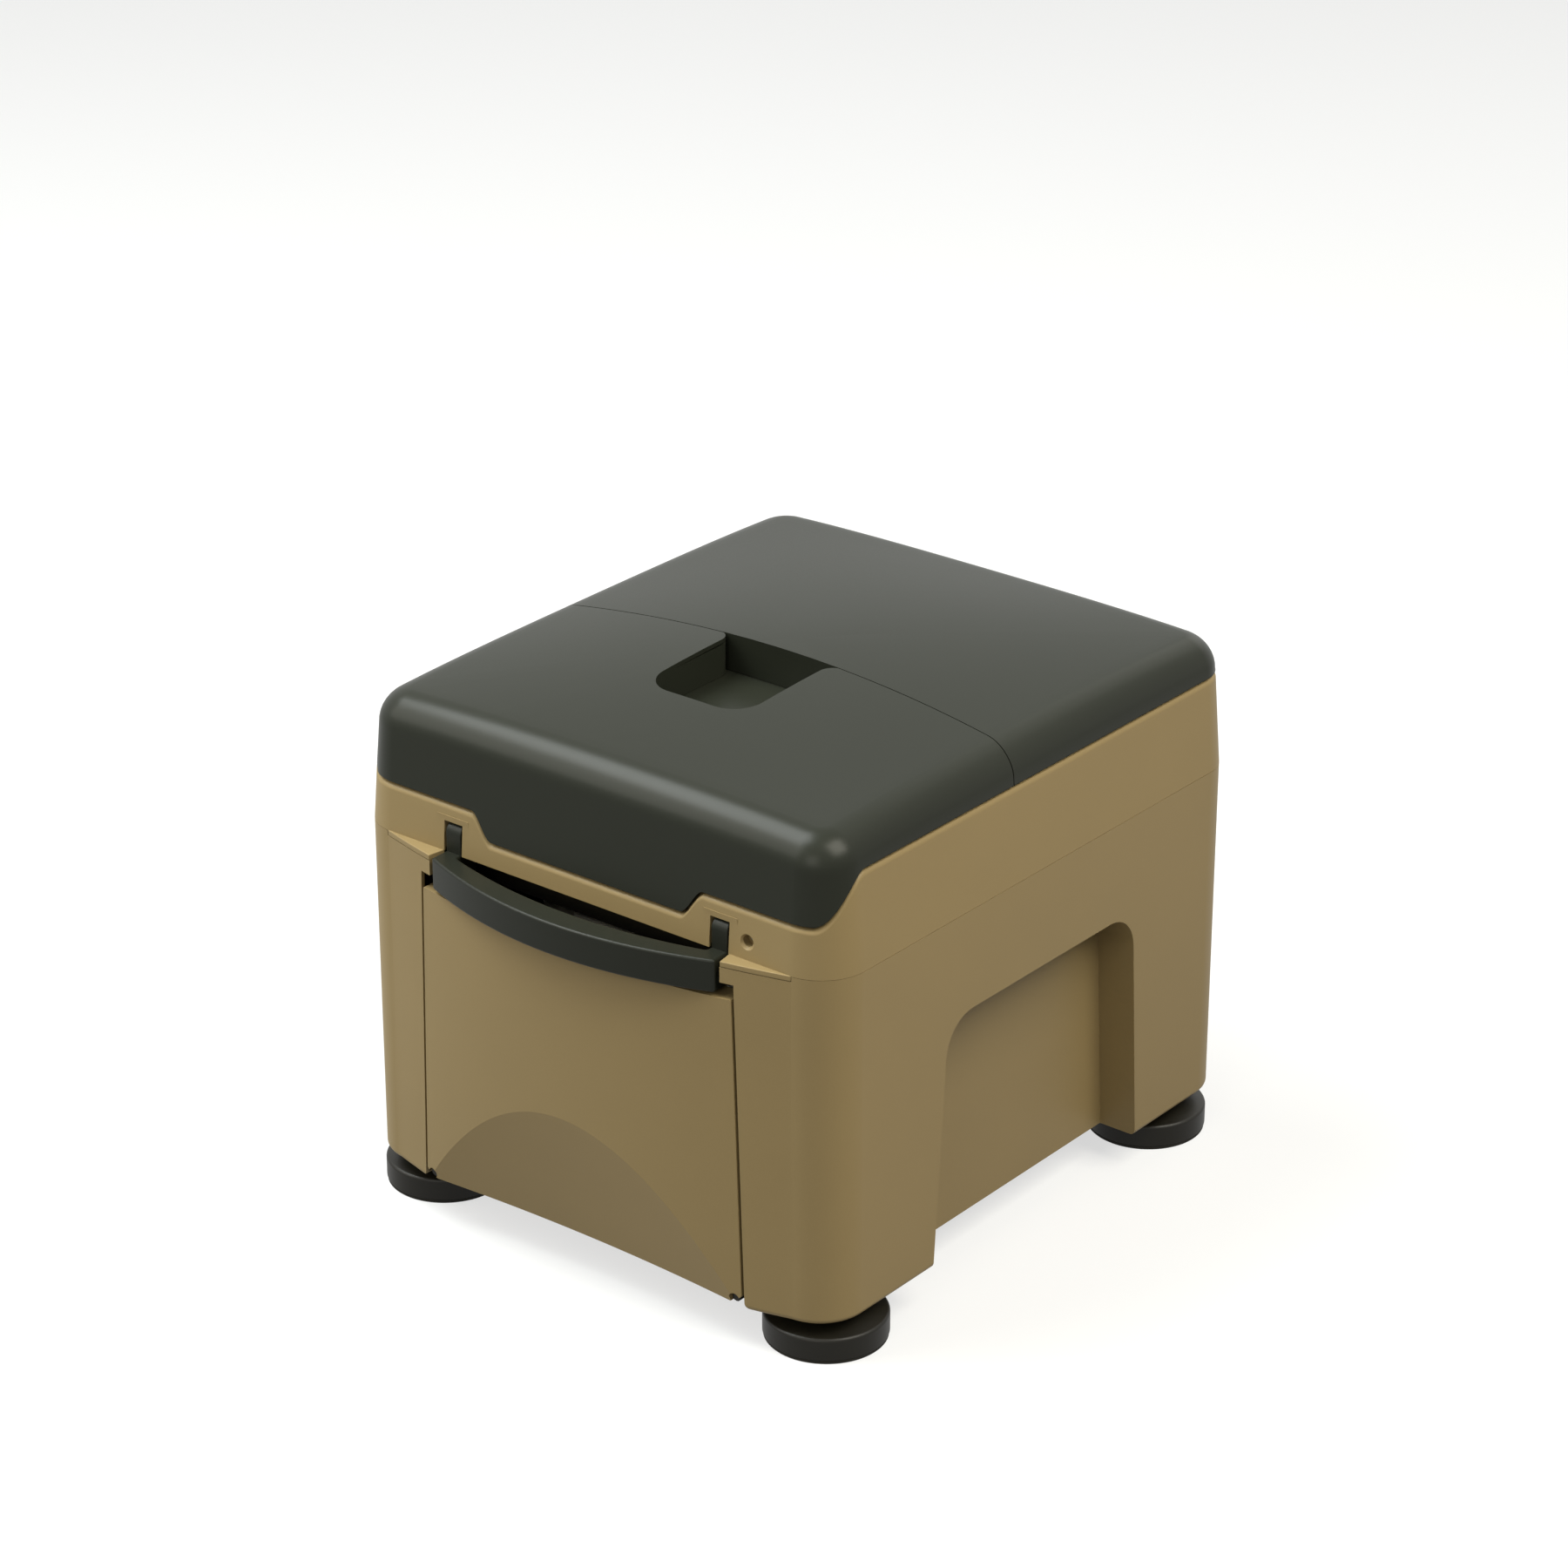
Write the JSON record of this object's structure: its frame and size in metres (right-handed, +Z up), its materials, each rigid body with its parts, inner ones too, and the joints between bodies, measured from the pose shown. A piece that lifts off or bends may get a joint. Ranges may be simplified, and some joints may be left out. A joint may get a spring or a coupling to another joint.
{
  "type": "portable potty",
  "caption": "Boxy portable toilet: hinged crowned lid over a seat and bowl, front carry handle, pull-out front drawer with a waste pail, and levelling feet.",
  "frame": {"origin": "centre of the object's base outline on the floor, feet screwed fully in", "axes": "+Z up; -Y towards the front, where the carry handle and the drawer are; +X to the right-hand side as seen facing the front"},
  "size_m": [0.4126, 0.4907, 0.382],
  "materials": {
    "tan_plastic": "satin moulded plastic, fine grain",
    "charcoal_plastic": "satin moulded plastic, fine grain",
    "black_plastic": "satin moulded plastic",
    "stone_plastic": "smooth, wipe-clean moulded plastic",
    "black_rubber": "soft matt rubber",
    "plated_steel": "zinc plated steel"
  },
  "bodies": {
    "housing": {"lower_body": "tan_plastic", "upper_frame": "tan_plastic", "bay_liner": "black_plastic", "runner_left": "black_plastic", "runner_right": "black_plastic", "seat_deck": "stone_plastic", "bowl_insert": "stone_plastic", "seat_ring": "stone_plastic", "seat_bumper_1": "black_rubber", "seat_bumper_2": "black_rubber", "seat_bumper_3": "black_rubber", "seat_bumper_4": "black_rubber", "frame_screw_1": "plated_steel", "frame_screw_2": "plated_steel", "frame_screw_3": "plated_steel", "frame_screw_4": "plated_steel", "foot_nut_front_left": "plated_steel", "foot_nut_front_right": "plated_steel", "foot_nut_rear_left": "plated_steel", "foot_nut_rear_right": "plated_steel", "handle_pin_left": "plated_steel", "handle_pin_right": "plated_steel", "lid_pin_left": "plated_steel", "lid_pin_right": "plated_steel", "front_screw": "plated_steel"},
    "lid": {"front_lid": "charcoal_plastic", "rear_lid": "charcoal_plastic", "lid_pan": "charcoal_plastic", "lid_gasket": "black_rubber", "lid_bumper_1": "black_rubber", "lid_bumper_2": "black_rubber", "lid_screw_1": "plated_steel", "lid_screw_2": "plated_steel", "lid_screw_3": "plated_steel", "lid_screw_4": "plated_steel", "lid_screw_5": "plated_steel", "lid_screw_6": "plated_steel"},
    "handle": {"carry_handle": "charcoal_plastic"},
    "drawer": {"drawer_front": "tan_plastic", "drawer_tray": "black_plastic", "drawer_screw_1": "plated_steel", "drawer_screw_2": "plated_steel", "drawer_screw_3": "plated_steel", "drawer_screw_4": "plated_steel", "drawer_glide_1": "black_plastic", "drawer_glide_2": "black_plastic", "waste_pail": "stone_plastic"},
    "foot_front_left": {"foot_disc_front_left": "black_plastic", "foot_stud_front_left": "plated_steel", "foot_pad_front_left": "black_rubber"},
    "foot_front_right": {"foot_disc_front_right": "black_plastic", "foot_stud_front_right": "plated_steel", "foot_pad_front_right": "black_rubber"},
    "foot_rear_left": {"foot_disc_rear_left": "black_plastic", "foot_stud_rear_left": "plated_steel", "foot_pad_rear_left": "black_rubber"},
    "foot_rear_right": {"foot_disc_rear_right": "black_plastic", "foot_stud_rear_right": "plated_steel", "foot_pad_rear_right": "black_rubber"}
  },
  "joints": [
    {"name": "lid_hinge", "type": "hinge", "parent": "housing", "child": "lid", "pos_m": [0, 0.24035, 0.343], "axis": [-1, 0, 0], "range_deg": [0, 100]},
    {"name": "handle_hinge", "type": "hinge", "parent": "housing", "child": "handle", "pos_m": [0, -0.20035, 0.2876], "axis": [-1, 0, 0], "range_deg": [0, 90]},
    {"name": "drawer_slide", "type": "slide", "parent": "housing", "child": "drawer", "axis": [0, -1, 0], "range_m": [0, 0.3]},
    {"name": "foot_front_left_slide", "type": "slide", "parent": "housing", "child": "foot_front_left", "axis": [0, 0, -1], "range_m": [0, 0.015]},
    {"name": "foot_front_right_slide", "type": "slide", "parent": "housing", "child": "foot_front_right", "axis": [0, 0, -1], "range_m": [0, 0.015]},
    {"name": "foot_rear_left_slide", "type": "slide", "parent": "housing", "child": "foot_rear_left", "axis": [0, 0, -1], "range_m": [0, 0.015]},
    {"name": "foot_rear_right_slide", "type": "slide", "parent": "housing", "child": "foot_rear_right", "axis": [0, 0, -1], "range_m": [0, 0.015]}
  ]
}
